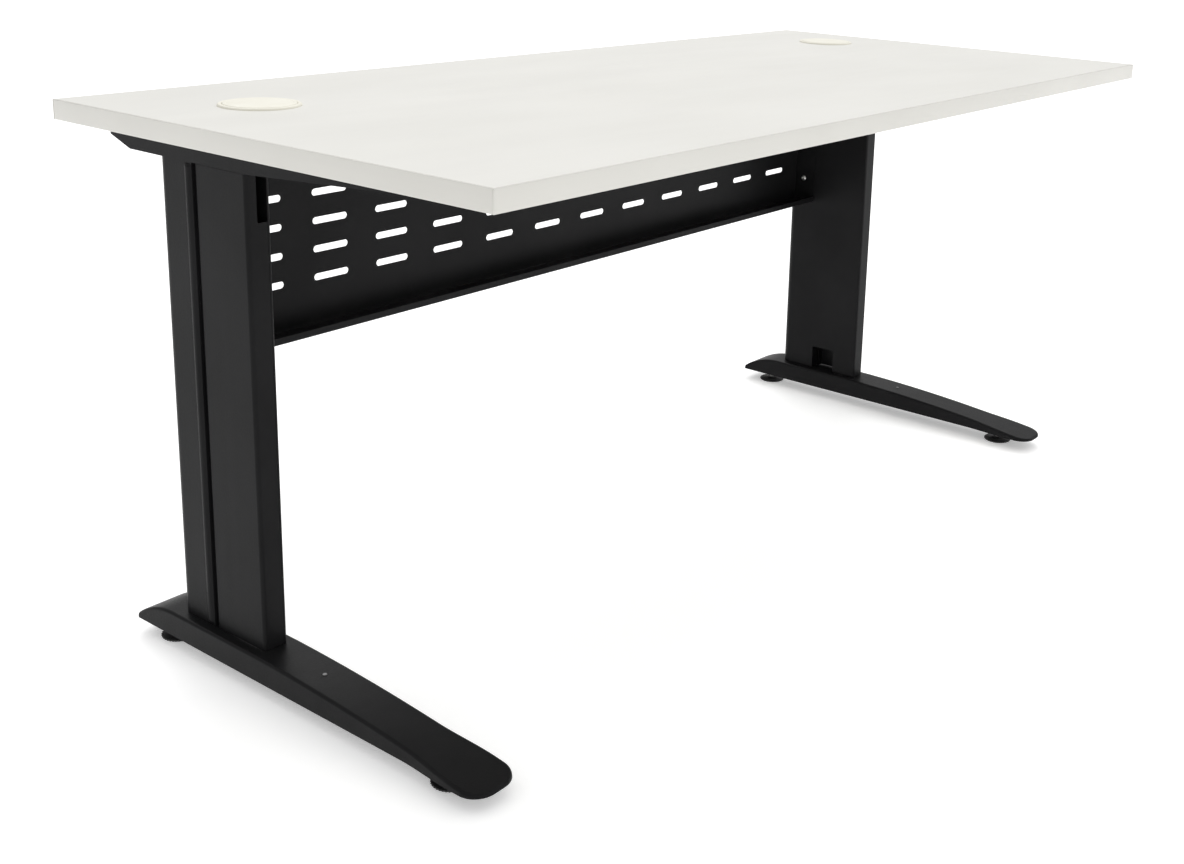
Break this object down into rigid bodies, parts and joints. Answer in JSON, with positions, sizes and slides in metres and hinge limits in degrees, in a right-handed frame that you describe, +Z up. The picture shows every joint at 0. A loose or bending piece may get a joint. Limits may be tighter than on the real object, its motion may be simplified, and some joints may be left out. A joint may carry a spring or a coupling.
{
  "type": "computer desk",
  "caption": "Rectangular computer desk: pale melamine top on C-shaped black steel legs with arched feet, clip-on cable covers, levelling glides and a slotted modesty panel.",
  "frame": {"origin": "on the floor, under the middle of the desktop", "axes": "+X along the desktop to the user's right, +Y towards its rear edge, +Z up; the user sits on the -Y side"},
  "size_m": [1.6, 0.75, 0.7335],
  "materials": {
    "melamine": "matt white melamine on chipboard",
    "edge_band": "satin plastic edge band",
    "port_plastic": "satin moulded plastic",
    "powder_coat": "satin black powder coat",
    "black_plastic": "moulded",
    "zinc_steel": "bright zinc"
  },
  "bodies": {
    "frame": {"desktop_board": "melamine", "edge_band_front": "edge_band", "edge_band_rear": "edge_band", "edge_band_left": "edge_band", "edge_band_right": "edge_band", "port_ring_left": "port_plastic", "port_ring_right": "port_plastic", "top_inserts": "zinc_steel", "top_screws": "zinc_steel", "top_arm_left": "powder_coat", "top_arm_right": "powder_coat", "column_left": "powder_coat", "column_right": "powder_coat", "cover_clips_left": "black_plastic", "cover_clips_right": "black_plastic", "base_plate_left": "zinc_steel", "base_plate_right": "zinc_steel", "foot_left": "powder_coat", "foot_right": "powder_coat", "foot_bolts": "zinc_steel", "foot_plugs": "zinc_steel", "glide_plates_left": "powder_coat", "glide_plates_right": "powder_coat", "glide_nuts": "zinc_steel", "modesty_panel": "powder_coat", "panel_bolts": "zinc_steel", "panel_nuts": "zinc_steel"},
    "port_cap_left": {"port_cap_left": "port_plastic"},
    "port_cap_right": {"port_cap_right": "port_plastic"},
    "cable_cover_left": {"cable_cover_left": "powder_coat"},
    "cable_cover_right": {"cable_cover_right": "powder_coat"},
    "glide_front_left": {"glide_stud_front_left": "zinc_steel", "glide_base_front_left": "black_plastic"},
    "glide_front_right": {"glide_stud_front_right": "zinc_steel", "glide_base_front_right": "black_plastic"},
    "glide_rear_left": {"glide_stud_rear_left": "zinc_steel", "glide_base_rear_left": "black_plastic"},
    "glide_rear_right": {"glide_stud_rear_right": "zinc_steel", "glide_base_rear_right": "black_plastic"}
  },
  "joints": [
    {"name": "port_cap_left_lift", "type": "slide", "parent": "frame", "child": "port_cap_left", "axis": [0, 0, 1], "range_m": [0, 0.04]},
    {"name": "port_cap_right_lift", "type": "slide", "parent": "frame", "child": "port_cap_right", "axis": [0, 0, 1], "range_m": [0, 0.04]},
    {"name": "cable_cover_left_pull", "type": "slide", "parent": "frame", "child": "cable_cover_left", "axis": [-1, 0, 0], "range_m": [0, 0.06]},
    {"name": "cable_cover_right_pull", "type": "slide", "parent": "frame", "child": "cable_cover_right", "axis": [1, 0, 0], "range_m": [0, 0.06]},
    {"name": "glide_front_left_screw", "type": "slide", "parent": "frame", "child": "glide_front_left", "axis": [0, 0, 1], "range_m": [-0.003, 0.004]},
    {"name": "glide_front_right_screw", "type": "slide", "parent": "frame", "child": "glide_front_right", "axis": [0, 0, 1], "range_m": [-0.003, 0.004]},
    {"name": "glide_rear_left_screw", "type": "slide", "parent": "frame", "child": "glide_rear_left", "axis": [0, 0, 1], "range_m": [-0.003, 0.004]},
    {"name": "glide_rear_right_screw", "type": "slide", "parent": "frame", "child": "glide_rear_right", "axis": [0, 0, 1], "range_m": [-0.003, 0.004]}
  ]
}
